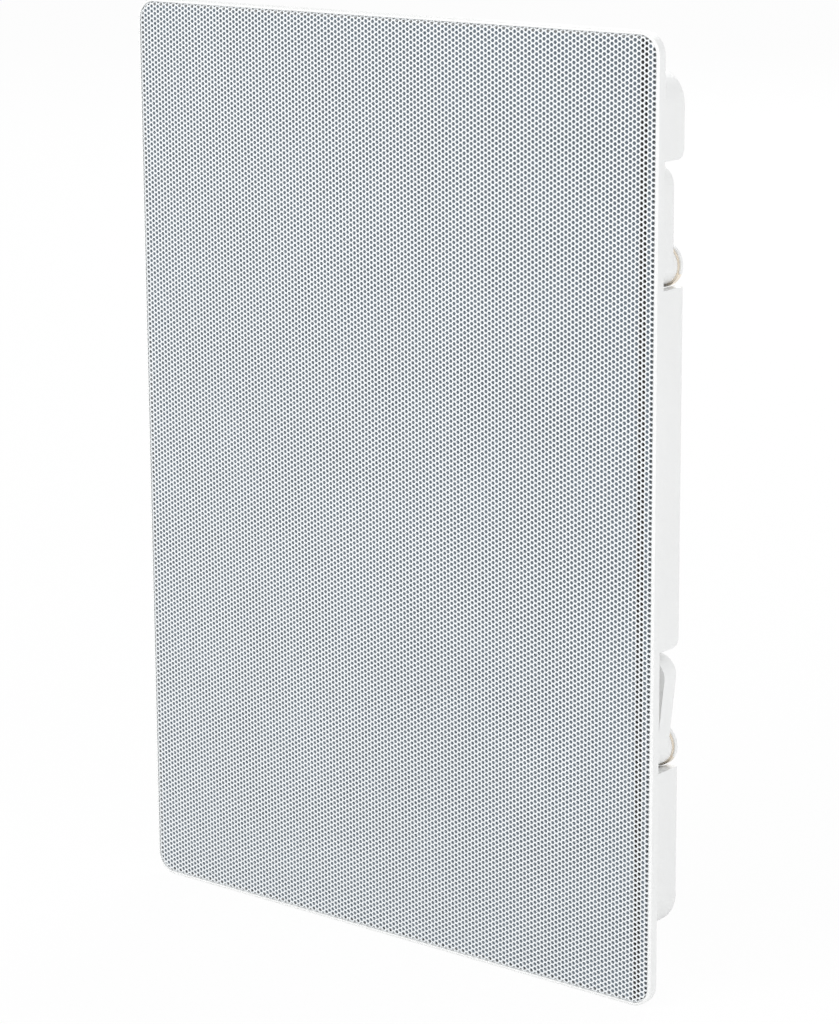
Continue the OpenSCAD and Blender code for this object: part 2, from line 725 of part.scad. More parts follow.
// Two leads run side by side from the circuit board, past the tweeter, to the tags on the basket
module woofer_leads() color("dimgray") for (side = [-0.5, 0.5]) {
    x = caps_x - 9 + side * lead_pitch;
    out = board_rear_y + 4;
    tag_x = side * tag_w / 2;
    lead([[x, board_rear_y, board_at - board_high / 2 + 2], [x, out, board_at - board_high / 2 + 2],
          [x + 3, out + 1, board_at - board_high / 2 - 6], [x + 6, out, tweeter_at + 6],
          [x + 5, out - 1, tweeter_at - 26], [x - 6, out + 4, tag_top_z + 22],
          [tag_x + 3, tag_rear_y + 5, tag_top_z + 4],
          [tag_x, tag_rear_y + 5, tag_top_z - tag_hole], [tag_x, tag_rear_y, tag_top_z - tag_hole]]);
}

module tweeter_leads() color("dimgray") for (side = [-0.5, 0.5]) {
    x = choke_x - choke_wide / 2 - lead_pitch + side * lead_pitch;
    out = tweeter_rear_y + 4;
    tag_x = side * small_tag_w / 2;
    lead([[x, board_rear_y, board_at - board_high / 2 + 2],
          [x, board_rear_y + 4, board_at - board_high / 2 + 2],
          [x + 1, board_rear_y + 7, board_at - board_high / 2 - 3],
          [(x + tag_x) / 2, out, small_tag_z + small_tag_len + 3],
          [tag_x, out + 1, small_tag_z + small_tag_len - tag_hole],
          [tag_x, tweeter_rear_y + 1.2, small_tag_z + small_tag_len - tag_hole]]);
}

module tweeter_tag_strip() color("saddlebrown") difference() {
    translate([-small_tag_w / 2, tweeter_rear_y, small_tag_z]) cube([small_tag_w, 1.2, small_tag_len]);
    for (x = [-1, 1])
        facing(x * small_tag_w / 4, tweeter_rear_y - eps, small_tag_z + small_tag_len - tag_hole)
            cylinder(h = 1.2 + 2 * eps, r = 0.6);
}

// Pan-head screw at the local origin, its shank along +z
module pan_screw(len, head = small_head_r) {
    difference() {
        union() {
            translate([0, 0, -small_head_h * 0.6]) cylinder(h = small_head_h * 0.6, r = head);
            translate([0, 0, -small_head_h]) cylinder(h = small_head_h * 0.5, r = head * 0.8);
            cylinder(h = len, r = small_shank_r);
        }
        translate([0, 0, -small_head_h * 0.75]) {
            cube([head, head * 0.3, small_head_h * 0.6], center = true);
            cube([head * 0.3, head, small_head_h * 0.6], center = true);
        }
    }
}

module woofer_screws() color("black") facing(y = baffle_y, z = woofer_at)
    translate([0, 0, flange_front]) at_circle(driver_screws, driver_screw_r)
        pan_screw(metal_t + gasket_t + baffle_t);

module tweeter_faceplate() color([0.15, 0.15, 0.16]) facing(y = baffle_y, z = tweeter_at) difference() {
    rotate_extrude() polygon([
        [horn_r, -0.6], [horn_r + 3 * room, -1.4], [horn_r + 9 * room, -face_t], [tweeter_r - 0.8, -face_t],
        [tweeter_r, -face_t + 0.8], [tweeter_r, 0], [spigot_r, 0], [spigot_r, dome_seat],
        [horn_r, dome_seat]]);
    translate([0, 0, -face_t - eps]) at_circle(4, tweeter_screw_r)
        cylinder(h = face_t + 2 * eps, r = small_shank_r + screw_gap);
}

module tweeter_dome() color([0.3, 0.3, 0.32]) facing(y = baffle_y, z = tweeter_at) {
    ball = (pow(dome_r, 2) + pow(dome_h, 2)) / (2 * dome_h);
    radii = [for (i = [0:6]) i * dome_r / 6];
    rotate_extrude() polygon(concat(
        [for (r = radii) [r, dome_seat - dome_h + ball - sqrt(ball * ball - r * r)]],
        [[dome_r + 0.5, dome_seat], [dome_r + 0.9, dome_seat - 0.8], [dome_r + 1.6, dome_seat - 0.8],
         [dome_r + 2, dome_seat], [spigot_r - 2, dome_seat], [spigot_r - 2, dome_seat + dome_t],
         [dome_r + 0.4, dome_seat + dome_t], [dome_r + 0.4, dome_seat + 4], [dome_r, dome_seat + 4]],
        [for (i = [6:-1:0])
            [radii[i], dome_seat + dome_t - dome_h + ball - sqrt(ball * ball - radii[i] * radii[i])]]));
}

module tweeter_top_plate() color("silver")
    facing(y = baffle_y + dome_seat + dome_t, z = tweeter_at) difference() {
    cylinder(h = tweeter_plate_t, r = motor_r);
    translate([0, 0, -eps]) cylinder(h = tweeter_plate_t + 2 * eps, r = dome_r + 0.9);
}

module tweeter_magnet() color([0.22, 0.22, 0.23])
    facing(y = baffle_y + dome_seat + dome_t + tweeter_plate_t, z = tweeter_at) difference() {
        cylinder(h = tweeter_magnet_t, r = motor_r);
        translate([0, 0, -eps]) cylinder(h = tweeter_magnet_t + 2 * eps, r = dome_r + 2.5);
    }

module tweeter_yoke() color("silver")
    facing(y = baffle_y + dome_seat + dome_t + tweeter_plate_t, z = tweeter_at) {
        translate([0, 0, tweeter_magnet_t]) cylinder(h = tweeter_plate_t, r = motor_r);
        translate([0, 0, -tweeter_plate_t])
            cylinder(h = tweeter_magnet_t + tweeter_plate_t, r = dome_r - 0.4);
    }

module tweeter_screws() color("black") facing(y = baffle_y, z = tweeter_at)
    translate([0, 0, -face_t]) at_circle(4, tweeter_screw_r) pan_screw(face_t + baffle_t);

module crossover_board() color("darkgreen") difference() {
    translate([0, 0, board_at]) slab(board_y, board_rear_y) square([board_wide, board_high], center = true);
    at_board_corners() slab(board_y - eps, board_rear_y + eps) circle(r = small_shank_r + screw_gap);
}

module board_screws() color("silver")
    at_board_corners() translate([0, board_rear_y, 0]) rotate([90, 0, 0]) pan_screw(board_t + standoff_len);

module choke() color("peru") translate([choke_x, board_rear_y, board_at]) rotate([-90, 0, 0]) difference() {
    cylinder(h = choke_h, d = choke_wide);
    translate([0, 0, -eps]) cylinder(h = choke_h + 2 * eps, d = choke_wide * 0.42);
}

module capacitors() color("steelblue") for (z = [-0.5, 0.5])
    translate([caps_x, board_rear_y + cap_wide / 2 + 0.1, board_at + z * cap_step])
        rotate([0, 90, 0]) cylinder(h = cap_len, d = cap_wide, center = true);

module resistor() color("ivory")
    translate([resistor_x - resistor_size[0] / 2, board_rear_y, board_at - resistor_size[2] / 2])
        cube(resistor_size);

module at_buttons() {
    for (i = [0, 1]) translate([block_x + (2 * i - 1) * button_x, 0, board_at]) children();
}

module terminal_block() color([0.12, 0.12, 0.12]) difference() {
    translate([block_x, 0, board_at]) slab(board_rear_y, block_rear_y) rounded(block_wide, block_h, 1.5);
    at_buttons() {
        translate([0, 0, button_z])
            slab(block_rear_y - button_depth - button_travel - 0.5, block_rear_y + eps)
                square(button_wide + 2 * button_gap, center = true);
        translate([0, 0, wire_z]) {
            slab(block_rear_y - wire_depth, block_rear_y + eps) circle(d = wire_d);
            facing(y = block_rear_y - wire_mouth)
                cylinder(h = 2 * wire_mouth, d1 = wire_d, d2 = wire_d + 4 * wire_mouth);
        }
    }
}

module push_button(side) translate([block_x + side * button_x, 0, board_at + button_z]) {
    slab(block_rear_y - button_depth, block_rear_y + button_proud - 0.6) square(button_wide, center = true);
    slab(block_rear_y + button_proud - 0.6, block_rear_y + button_proud)
        square(button_wide - 1.2, center = true);
}

module terminal_red() color("red") push_button(-1);

module terminal_black() color("black") push_button(1);

frame();
grille();
scrim();
grille_magnets();
clamp(1);  // clamp_1
clamp(2);  // clamp_2
clamp(3);  // clamp_3
clamp(4);  // clamp_4
clamp_screw(1);  // clamp_screw_1
clamp_screw(2);  // clamp_screw_2
clamp_screw(3);  // clamp_screw_3
clamp_screw(4);  // clamp_screw_4
clamp_nut(1);  // clamp_nut_1
clamp_nut(2);  // clamp_nut_2
clamp_nut(3);  // clamp_nut_3
clamp_nut(4);  // clamp_nut_4
woofer_gasket();
woofer_basket();
woofer_cone();
woofer_surround();
woofer_dust_cap();
woofer_voice_coil();
woofer_spider();
woofer_top_plate();
woofer_magnet();
woofer_yoke();
woofer_tag_strip();
woofer_screws();
tweeter_faceplate();
tweeter_dome();
tweeter_top_plate();
tweeter_magnet();
tweeter_yoke();
tweeter_tag_strip();
tweeter_screws();
tweeter_leads();
woofer_leads();
crossover_board();
board_screws();
choke();
capacitors();
resistor();
terminal_block();
terminal_red();
terminal_black();
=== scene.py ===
import json
import math

import bmesh
import bpy
import numpy as np
from mathutils import Matrix, Vector
from mathutils.geometry import tessellate_polygon


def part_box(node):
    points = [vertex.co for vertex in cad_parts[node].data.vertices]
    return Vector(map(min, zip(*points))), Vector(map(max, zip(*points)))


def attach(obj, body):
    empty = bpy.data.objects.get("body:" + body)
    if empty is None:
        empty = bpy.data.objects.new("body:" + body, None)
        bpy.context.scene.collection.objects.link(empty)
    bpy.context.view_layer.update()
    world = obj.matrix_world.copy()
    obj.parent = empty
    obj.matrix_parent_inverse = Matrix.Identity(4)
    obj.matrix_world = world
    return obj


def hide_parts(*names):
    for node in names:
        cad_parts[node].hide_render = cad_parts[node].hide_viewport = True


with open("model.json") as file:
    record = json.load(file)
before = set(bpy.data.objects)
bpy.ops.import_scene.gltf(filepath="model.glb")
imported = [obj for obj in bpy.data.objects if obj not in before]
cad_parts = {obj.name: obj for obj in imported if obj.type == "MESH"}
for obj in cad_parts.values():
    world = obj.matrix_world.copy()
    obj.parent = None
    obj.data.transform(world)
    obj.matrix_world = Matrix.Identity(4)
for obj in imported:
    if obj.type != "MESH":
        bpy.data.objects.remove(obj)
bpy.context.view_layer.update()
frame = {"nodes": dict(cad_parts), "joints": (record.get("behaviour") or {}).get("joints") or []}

MM = 0.001

# Sizes that the pieces share with the solids, in millimetres
FRONT_Y = -3.4
GRILLE_W, GRILLE_H, GRILLE_R = 207.14, 301.14, 6.1
SHEET_T, BEND_R, EDGE_DEPTH = 0.4, 0.55, 1.65
PITCH, HOLE_D, HOLE_WIDE = 1.6, 1.20, 1.10
COLUMN_INSET, ROW_INSET = 2.2, 1.6
SCRIM_Y = (-3.0, -2.6)
SCRIM_W, SCRIM_H = 204.8, 298.8
# Painted shade: the x span of the dark band on the scrim's right edge, standing in for deep shadow behind the
# outer hole columns
SHADE_STRIP_X = (97.4, 100.4)
BAFFLE_Y = 9.0
WOOFER_Z, TWEETER_Z = -56.0, 66.0


# The camera and the light

# Solved from the photograph: its height, the focal length and the row of the optical axis, in pixels
PHOTO_H_PX, FOCAL_PX, AXIS_ROW_PX = 1024.0, 3320.0, 460.0
CAMERA_AT = (658.2, -801.8, 244.7)
FILL_STRENGTH, FLOOR_Z, FLOOR_HALF, FLOOR_GLOW = 0.56, -0.1518, 6.0, 0.95

def place_camera():
    """The view that the photograph's frame corners were solved for."""
    cam = bpy.data.cameras.new("camera")
    obj = bpy.data.objects.new("camera", cam)
    bpy.context.scene.collection.objects.link(obj)
    # Rows: the camera's right, down and forward in the row frame
    right = Vector((0.7790, 0.6270, -0.0059)).normalized()
    down = Vector((0.1345, -0.1762, -0.9751))
    down = (down - right * down.dot(right)).normalized()
    forward = right.cross(down).normalized()
    rot = Matrix((right, -down, -forward)).transposed()
    obj.matrix_world = Matrix.Translation(Vector(CAMERA_AT) * MM) @ rot.to_4x4()
    cam.sensor_fit = "VERTICAL"
    cam.sensor_height = 36.0
    cam.lens = FOCAL_PX / PHOTO_H_PX * cam.sensor_height
    cam.shift_y = (AXIS_ROW_PX - PHOTO_H_PX / 2) / PHOTO_H_PX
    cam.clip_start, cam.clip_end = 0.05, 30.0
    cam.dof.use_dof = False
    bpy.context.scene.camera = obj


place_camera()


def nodes_of(mat):
    mat.use_nodes = True
    nt = mat.node_tree
    nt.nodes.clear()
    return nt, nt.nodes, nt.links


def area_light(name, loc, target, size, watts, colour=(1, 1, 1)):
    lamp = bpy.data.lights.new(name, "AREA")
    lamp.shape = "RECTANGLE"
    lamp.size, lamp.size_y = size
    lamp.energy = watts
    lamp.color = colour
    obj = bpy.data.objects.new(name, lamp)
    bpy.context.scene.collection.objects.link(obj)
    obj.location = loc
    obj.rotation_euler = (Vector(target) - Vector(loc)).to_track_quat("-Z", "Y").to_euler()
    return obj


def build_stage():
    scene = bpy.context.scene
    scene.view_settings.view_transform = "Standard"
    world = bpy.data.worlds.new("studio")
    scene.world = world
    world.use_nodes = True
    nt = world.node_tree
    nt.nodes.clear()
    out = nt.nodes.new("ShaderNodeOutputWorld")
    fill = nt.nodes.new("ShaderNodeBackground")
    fill.inputs["Color"].default_value = (0.985, 0.99, 1.0, 1)
    fill.inputs["Strength"].default_value = FILL_STRENGTH
    white = nt.nodes.new("ShaderNodeBackground")
    white.inputs["Color"].default_value = (1, 1, 1, 1)
    white.inputs["Strength"].default_value = 1.0
    path = nt.nodes.new("ShaderNodeLightPath")
    seen = nt.nodes.new("ShaderNodeMath")
    seen.operation = "MAXIMUM"
    seen2 = nt.nodes.new("ShaderNodeMath")
    seen2.operation = "MAXIMUM"
    mix = nt.nodes.new("ShaderNodeMixShader")
    nt.links.new(path.outputs["Is Camera Ray"], seen.inputs[0])
    nt.links.new(path.outputs["Is Glossy Ray"], seen.inputs[1])
    nt.links.new(seen.outputs[0], seen2.inputs[0])
    nt.links.new(path.outputs["Is Transmission Ray"], seen2.inputs[1])
    nt.links.new(seen2.outputs[0], mix.inputs["Fac"])
    nt.links.new(fill.outputs[0], mix.inputs[1])
    nt.links.new(white.outputs[0], mix.inputs[2])
    nt.links.new(mix.outputs[0], out.inputs["Surface"])

    mesh = bpy.data.meshes.new("floor")
    s, z = FLOOR_HALF, FLOOR_Z
    mesh.from_pydata([(-s, -s, z), (s, -s, z), (s, s, z), (-s, s, z)], [], [(0, 1, 2, 3)])
    floor = bpy.data.objects.new("floor", mesh)
    scene.collection.objects.link(floor)
    mat = bpy.data.materials.new("floor_white")
    nt, nodes, links = nodes_of(mat)
    out = nodes.new("ShaderNodeOutputMaterial")
    paper = nodes.new("ShaderNodeBsdfPrincipled")
    paper.inputs["Base Color"].default_value = (0.96, 0.96, 0.96, 1)
    paper.inputs["Roughness"].default_value = 0.9
    glow = nodes.new("ShaderNodeEmission")
    glow.inputs["Strength"].default_value = 1.0
    mix = nodes.new("ShaderNodeMixShader")
    path = nodes.new("ShaderNodeLightPath")
    part = nodes.new("ShaderNodeMath")
    part.operation = "MULTIPLY"
    part.inputs[1].default_value = FLOOR_GLOW
    links.new(path.outputs["Is Camera Ray"], part.inputs[0])
    links.new(part.outputs[0], mix.inputs["Fac"])
    links.new(paper.outputs[0], mix.inputs[1])
    links.new(glow.outputs[0], mix.inputs[2])
    links.new(mix.outputs[0], out.inputs["Surface"])
    mesh.materials.append(mat)

    area_light("key", (-0.6, -1.9, 1.3), (0, 0, 0), (1.4, 1.4), 17.0, (1.0, 0.99, 0.975))
    area_light("front", (-0.4, -2.2, 0.3), (0, 0, 0), (1.8, 1.8), 13.0)
    area_light("side", (2.1, -0.45, 0.4), (0, 0, 0), (1.2, 1.6), 15.0)
    area_light("rear", (-0.6, 2.0, 1.2), (0, 0.02, 0), (1.6, 1.6), 20.0)


build_stage()


# Materials

def base_material(name, colour, rough, metal=0.0, coat=0.0):
    mat = bpy.data.materials.new(name)
    nt, nodes, links = nodes_of(mat)
    out = nodes.new("ShaderNodeOutputMaterial")
    bsdf = nodes.new("ShaderNodeBsdfPrincipled")
    bsdf.inputs["Base Color"].default_value = (*colour, 1)
    bsdf.inputs["Roughness"].default_value = rough
    bsdf.inputs["Metallic"].default_value = metal
    if coat:
        bsdf.inputs["Coat Weight"].default_value = coat
    links.new(bsdf.outputs[0], out.inputs["Surface"])
    mat.diffuse_color = (*colour, 1)
    return mat, nt, nodes, links, bsdf


def vary(nodes, links, bsdf, colour, amount, scale, rough, rough_span=0.08):
    """Slow variation of the colour and of the gloss over the surface."""
    coord = nodes.new("ShaderNodeTexCoord")
    noise = nodes.new("ShaderNodeTexNoise")
    noise.inputs["Scale"].default_value = scale
    noise.inputs["Detail"].default_value = 5.0
    links.new(coord.outputs["Object"], noise.inputs["Vector"])
    ramp = nodes.new("ShaderNodeValToRGB")
    ramp.color_ramp.elements[0].position = 0.3
    ramp.color_ramp.elements[1].position = 0.7
    ramp.color_ramp.elements[0].color = (*[max(c * (1 - amount), 0) for c in colour], 1)
    ramp.color_ramp.elements[1].color = (*[min(c * (1 + amount), 1) for c in colour], 1)
    links.new(noise.outputs["Fac"], ramp.inputs["Fac"])
    links.new(ramp.outputs["Color"], bsdf.inputs["Base Color"])
    span = nodes.new("ShaderNodeMapRange")
    span.inputs["To Min"].default_value = max(rough - rough_span, 0.02)
    span.inputs["To Max"].default_value = min(rough + rough_span, 1.0)
    links.new(noise.outputs["Fac"], span.inputs["Value"])
    links.new(span.outputs["Result"], bsdf.inputs["Roughness"])
    return coord, noise


def add_bump(nodes, links, bsdf, height, strength, distance):
    bump = nodes.new("ShaderNodeBump")
    bump.inputs["Strength"].default_value = strength
    bump.inputs["Distance"].default_value = distance
    links.new(height, bump.inputs["Height"])
    links.new(bump.outputs["Normal"], bsdf.inputs["Normal"])
    return bump


def moulded(name, colour, rough=0.42, grain=2600.0, strength=0.12, amount=0.015, coat=0.0):
    """Injection-moulded plastic: fine spark-eroded texture and slow gloss changes."""
    mat, nt, nodes, links, bsdf = base_material(name, colour, rough, 0.0, coat)
    coord, noise = vary(nodes, links, bsdf, colour, amount, 18.0, rough)
    fine = nodes.new("ShaderNodeTexNoise")
    fine.inputs["Scale"].default_value = grain
    fine.inputs["Detail"].default_value = 2.0
    links.new(coord.outputs["Object"], fine.inputs["Vector"])
    add_bump(nodes, links, bsdf, fine.outputs["Fac"], strength, 0.0002)
    return mat


def powder(name, colour, rough=0.45, strength=0.16, amount=0.012):
    """Powder-coated steel: a faint orange peel."""
    mat, nt, nodes, links, bsdf = base_material(name, colour, rough)
    coord, noise = vary(nodes, links, bsdf, colour, amount, 12.0, rough, 0.05)
    peel = nodes.new("ShaderNodeTexNoise")
    peel.inputs["Scale"].default_value = 900.0
    peel.inputs["Detail"].default_value = 1.0
    links.new(coord.outputs["Object"], peel.inputs["Vector"])
    add_bump(nodes, links, bsdf, peel.outputs["Fac"], strength, 0.0002)
    return mat


def metal(name, colour, rough=0.3, stretch=(1, 1, 30), amount=0.06, strength=0.1, scale=300.0):
    """Drawn, turned or plated metal: fine lines along one way and slow tarnish."""
    mat, nt, nodes, links, bsdf = base_material(name, colour, rough, 1.0)
    coord, noise = vary(nodes, links, bsdf, colour, amount, 60.0, rough, 0.1)
    mapping = nodes.new("ShaderNodeMapping")
    mapping.inputs["Scale"].default_value = stretch
    lines = nodes.new("ShaderNodeTexNoise")
    lines.inputs["Scale"].default_value = scale
    lines.inputs["Detail"].default_value = 3.0
    links.new(coord.outputs["Object"], mapping.inputs["Vector"])
    links.new(mapping.outputs["Vector"], lines.inputs["Vector"])
    add_bump(nodes, links, bsdf, lines.outputs["Fac"], strength, 0.0001)
    return mat


def woven(name, colour, count=1500.0, rough=0.9, strength=0.6, sheen=0.2):
    """Cloth: two crossed sets of threads across the piece."""
    mat, nt, nodes, links, bsdf = base_material(name, colour, rough)
    bsdf.inputs["Sheen Weight"].default_value = sheen
    coord, noise = vary(nodes, links, bsdf, colour, 0.12, 40.0, rough, 0.05)
    waves = []
    for direction in ("X", "Z"):
        wave = nodes.new("ShaderNodeTexWave")
        wave.bands_direction = direction
        wave.inputs["Scale"].default_value = count
        links.new(coord.outputs["Object"], wave.inputs["Vector"])
        waves.append(wave)
    both = nodes.new("ShaderNodeMath")
    both.operation = "MULTIPLY"
    links.new(waves[0].outputs["Fac"], both.inputs[0])
    links.new(waves[1].outputs["Fac"], both.inputs[1])
    add_bump(nodes, links, bsdf, both.outputs[0], strength, 0.0003)
    return mat


def rubbery(name, colour, rough=0.62, strength=0.2):
    mat, nt, nodes, links, bsdf = base_material(name, colour, rough)
    coord, noise = vary(nodes, links, bsdf, colour, 0.15, 55.0, rough, 0.08)
    skin = nodes.new("ShaderNodeTexVoronoi")
    skin.inputs["Scale"].default_value = 1400.0
    links.new(coord.outputs["Object"], skin.inputs["Vector"])
    add_bump(nodes, links, bsdf, skin.outputs["Distance"], strength, 0.0002)
    return mat


def sintered(name, colour, rough=0.7):
    """Fired ferrite: dull and finely pitted."""
    mat, nt, nodes, links, bsdf = base_material(name, colour, rough)
    coord, noise = vary(nodes, links, bsdf, colour, 0.25, 90.0, rough, 0.1)
    pits = nodes.new("ShaderNodeTexNoise")
    pits.inputs["Scale"].default_value = 1200.0
    pits.inputs["Detail"].default_value = 6.0
    links.new(coord.outputs["Object"], pits.inputs["Vector"])
    add_bump(nodes, links, bsdf, pits.outputs["Fac"], 0.35, 0.0003)
    return mat


def cloth_with_painted_shade_strip(name, colour, edge):
    """The scrim: woven cloth with a painted shade strip, a dark line beside its right edge that stands for
    the deep shadow there.
    """
    mat = woven(name, colour)
    nt = mat.node_tree
    nodes, links = nt.nodes, nt.links
    bsdf = next(n for n in nodes if n.type == "BSDF_PRINCIPLED")
    ramp = bsdf.inputs["Base Color"].links[0].from_node
    coord = next(n for n in nodes if n.type == "TEX_COORD")
    split = nodes.new("ShaderNodeSeparateXYZ")
    links.new(coord.outputs["Object"], split.inputs[0])
    marks = []
    # Mask of the painted shade band between the two x limits
    for limit, way in zip(SHADE_STRIP_X, ("GREATER_THAN", "LESS_THAN")):
        side = nodes.new("ShaderNodeMath")
        side.operation = way
        side.inputs[1].default_value = limit * MM
        links.new(split.outputs["X"], side.inputs[0])
        marks.append(side)
    both = nodes.new("ShaderNodeMath")
    both.operation = "MULTIPLY"
    links.new(marks[0].outputs[0], both.inputs[0])
    links.new(marks[1].outputs[0], both.inputs[1])
    mix = nodes.new("ShaderNodeMix")
    mix.data_type = "RGBA"
    colours = [i for i in mix.inputs if i.type == "RGBA"]
    colours[1].default_value = (*edge, 1)
    links.new(both.outputs[0], mix.inputs["Factor"])
    links.new(ramp.outputs["Color"], colours[0])
    links.new([o for o in mix.outputs if o.type == "RGBA"][0], bsdf.inputs["Base Color"])
    return mat


MATS = {
    "frame": moulded("white_abs", (0.86, 0.865, 0.86), 0.40),
    "clamp": moulded("clamp_abs", (0.86, 0.865, 0.86), 0.42),
    "grille": powder("grille_paint", (0.86, 0.885, 0.90), 0.42),
    # The scrim's second colour is the near-black painted shade of the band by its right edge
    "scrim": cloth_with_painted_shade_strip("scrim_cloth", (0.155, 0.195, 0.235), (0.006, 0.006, 0.006)),
    "nickel": metal("nickel_plate", (0.72, 0.71, 0.68), 0.22),
    "yellow_zinc": metal("yellow_zinc", (0.78, 0.66, 0.42), 0.34, (1, 1, 8), 0.12),
    "nut_plate": metal("pale_brass", (0.93, 0.84, 0.72), 0.38, (1, 1, 6), 0.07),
    "zinc": metal("bright_zinc", (0.62, 0.63, 0.65), 0.33, (1, 25, 1), 0.08),
    "basket": powder("basket_paint", (0.018, 0.018, 0.020), 0.42, 0.3, 0.2),
    "cone": moulded("cone_polymer", (0.022, 0.022, 0.025), 0.36, 700.0, 0.25, 0.2),
    "rubber": rubbery("surround_rubber", (0.014, 0.014, 0.015)),
    "foam": rubbery("gasket_foam", (0.020, 0.020, 0.021), 0.9, 0.6),
    "spider": woven("spider_cloth", (0.50, 0.35, 0.15), 1200.0, 0.85),
    "dome": woven("dome_silk", (0.030, 0.030, 0.034), 2600.0, 0.7, 0.4, 0.3),
    "copper": metal("copper_wire", (0.70, 0.30, 0.14), 0.28, (1, 1, 1), 0.12),
    "ferrite": sintered("ferrite", (0.045, 0.045, 0.048)),
    "phenolic": moulded("phenolic_board", (0.24, 0.11, 0.045), 0.5, 900.0, 0.2, 0.1),
    "black_steel": metal("black_oxide", (0.05, 0.05, 0.052), 0.38, (1, 1, 1), 0.2),
    "black_plastic": moulded("black_plastic", (0.020, 0.020, 0.021), 0.4, 1800.0, 0.2, 0.15),
    "solder_mask": moulded("solder_mask", (0.012, 0.115, 0.045), 0.28, 500.0, 0.05, 0.1, 0.3),
    "film_cap": moulded("capacitor_film", (0.55, 0.33, 0.03), 0.3, 200.0, 0.05, 0.06, 0.4),
    "cement": sintered("cement_resistor", (0.72, 0.70, 0.64), 0.85),
    "red": moulded("red_plastic", (0.50, 0.018, 0.015), 0.3, 1500.0, 0.08, 0.05, 0.2),
    "black_gloss": moulded("black_button", (0.016, 0.016, 0.017), 0.3, 1500.0, 0.08, 0.1, 0.2),
    "cable": rubbery("cable_sleeve", (0.020, 0.020, 0.022), 0.45, 0.1),
    "solder": metal("solder", (0.66, 0.67, 0.69), 0.24, (1, 1, 1), 0.1),
    "tracks": moulded("board_tracks", (0.035, 0.22, 0.085), 0.3, 500.0, 0.05, 0.1, 0.3),
}
NODE_MATS = {
    "frame": "frame", "grille_magnets": "nickel",
    "woofer_basket": "basket", "woofer_cone": "cone", "woofer_dust_cap": "cone",
    "woofer_voice_coil": "copper", "woofer_top_plate": "zinc", "woofer_magnet": "ferrite",
    "woofer_yoke": "zinc", "woofer_tag_strip": "phenolic", "woofer_screws": "black_steel",
    "tweeter_tag_strip": "phenolic", "woofer_leads": "cable", "tweeter_leads": "cable",
    "tweeter_faceplate": "black_plastic", "tweeter_top_plate": "zinc", "tweeter_magnet": "ferrite",
    "tweeter_yoke": "zinc", "tweeter_screws": "black_steel", "crossover_board": "solder_mask",
    "board_screws": "zinc", "choke": "copper", "capacitors": "film_cap", "resistor": "cement",
    "terminal_block": "black_plastic", "terminal_red": "red", "terminal_black": "black_gloss",
}
for i in range(1, 5):
    NODE_MATS[f"clamp_{i}"] = "clamp"
    NODE_MATS[f"clamp_screw_{i}"] = "yellow_zinc"
    NODE_MATS[f"clamp_nut_{i}"] = "nut_plate"


def dress_nodes():
    for node, key in NODE_MATS.items():
        obj = frame["nodes"][node]
        for s in obj.material_slots:
            s.material = MATS[key]
        if not obj.material_slots:
            obj.data.materials.append(MATS[key])


dress_nodes()


# Mesh helpers

def add_mesh(name, verts, faces, key, body, smooth=None):
    """A piece from millimetre points: its object sits at the origin."""
    mesh = bpy.data.meshes.new(name)
    mesh.from_pydata([tuple(c * MM for c in v) for v in verts], [], faces)
    mesh.materials.append(MATS[key])
    obj = bpy.data.objects.new(name, mesh)
    bpy.context.scene.collection.objects.link(obj)
    bm = bmesh.new()
    bm.from_mesh(mesh)
    bmesh.ops.remove_doubles(bm, verts=bm.verts, dist=1e-7)
    bmesh.ops.recalc_face_normals(bm, faces=bm.faces)
    bm.to_mesh(mesh)
    bm.free()
    if smooth is not None:
        mesh.shade_smooth()
        mesh.set_sharp_from_angle(angle=math.radians(smooth))
    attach(obj, body)
    return obj


def lathe(profile, z0, segments=96, x0=0.0, y0=BAFFLE_Y, along="y"):
    """Turns a closed profile of (radius, distance along the axis) about an axis through x0, y0 and z0."""
    verts, faces, n = [], [], len(profile)
    for s in range(segments):
        a = 2 * math.pi * s / segments
        ca, sa = math.cos(a), math.sin(a)
        if along == "y":
            verts += [(x0 + r * ca, y0 + d, z0 + r * sa) for r, d in profile]
        else:
            verts += [(x0 + d, y0 + r * ca, z0 + r * sa) for r, d in profile]
    for s in range(segments):
        t = (s + 1) % segments
        for i in range(n):
            j = (i + 1) % n
            if profile[i][0] < 1e-6 and profile[j][0] < 1e-6:
                continue
            faces.append((s * n + i, s * n + j, t * n + j, t * n + i))
    return verts, faces


# The grille: a sheet with its whole lattice of holes, bent back along its edge

